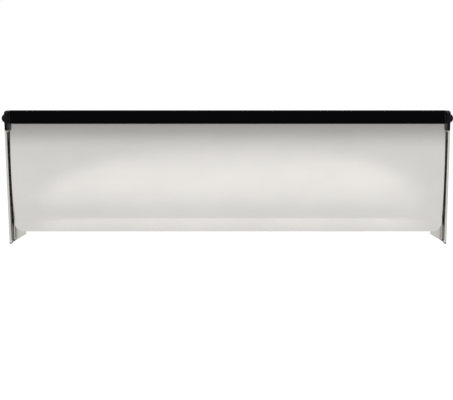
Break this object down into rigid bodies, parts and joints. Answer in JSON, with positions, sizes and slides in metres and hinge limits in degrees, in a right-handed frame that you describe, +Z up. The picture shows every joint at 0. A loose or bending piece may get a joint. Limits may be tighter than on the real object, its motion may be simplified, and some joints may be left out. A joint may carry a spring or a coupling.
{
  "type": "interior letter plate",
  "caption": "Inside letter plate: a sprung, bowed metal flap under a black hinge rail, hung between two angle brackets that screw to the door beside the letter slot.",
  "frame": {"origin": "centre of the four fixing holes, on the face of the door", "axes": "+Z up, +X right as seen from the room, +Y into the door; the flap faces the room at negative Y"},
  "size_m": [0.28, 0.0095, 0.0842],
  "materials": {
    "satin_nickel": "satin nickel plated, fine horizontal grain",
    "black_rail": "black extruded bar, soft sheen",
    "black_nylon": "black moulded nylon, slightly rough",
    "bright_steel": "bright drawn steel",
    "spring_steel": "spring wire",
    "natural_nylon": "natural nylon",
    "buffer_rubber": "soft black rubber"
  },
  "bodies": {
    "frame": {"pivot_rod": "bright_steel", "bracket_left": "satin_nickel", "bracket_right": "satin_nickel", "end_block_left": "black_nylon", "end_block_right": "black_nylon", "rod_cap_left": "black_nylon", "rod_cap_right": "black_nylon", "thrust_washer_left": "black_nylon", "thrust_washer_right": "black_nylon", "closing_buffer_left": "buffer_rubber", "closing_buffer_right": "buffer_rubber", "return_spring_left": "spring_steel", "return_spring_right": "spring_steel"},
    "flap": {"flap_plate": "satin_nickel", "hinge_rail": "black_rail", "centre_bush": "natural_nylon", "end_bush_left": "black_nylon", "end_bush_right": "black_nylon", "spring_anchor_left": "natural_nylon", "spring_anchor_right": "natural_nylon"}
  },
  "joints": [
    {"name": "flap_hinge", "type": "hinge", "parent": "frame", "child": "flap", "pos_m": [0, -0.0063, 0.036], "axis": [-1, 0, 0], "range_deg": [0, 88], "stiffness_Nm_per_rad": 0.008, "springref_deg": -68.75, "deforming": ["return_spring_left", "return_spring_right"]}
  ]
}
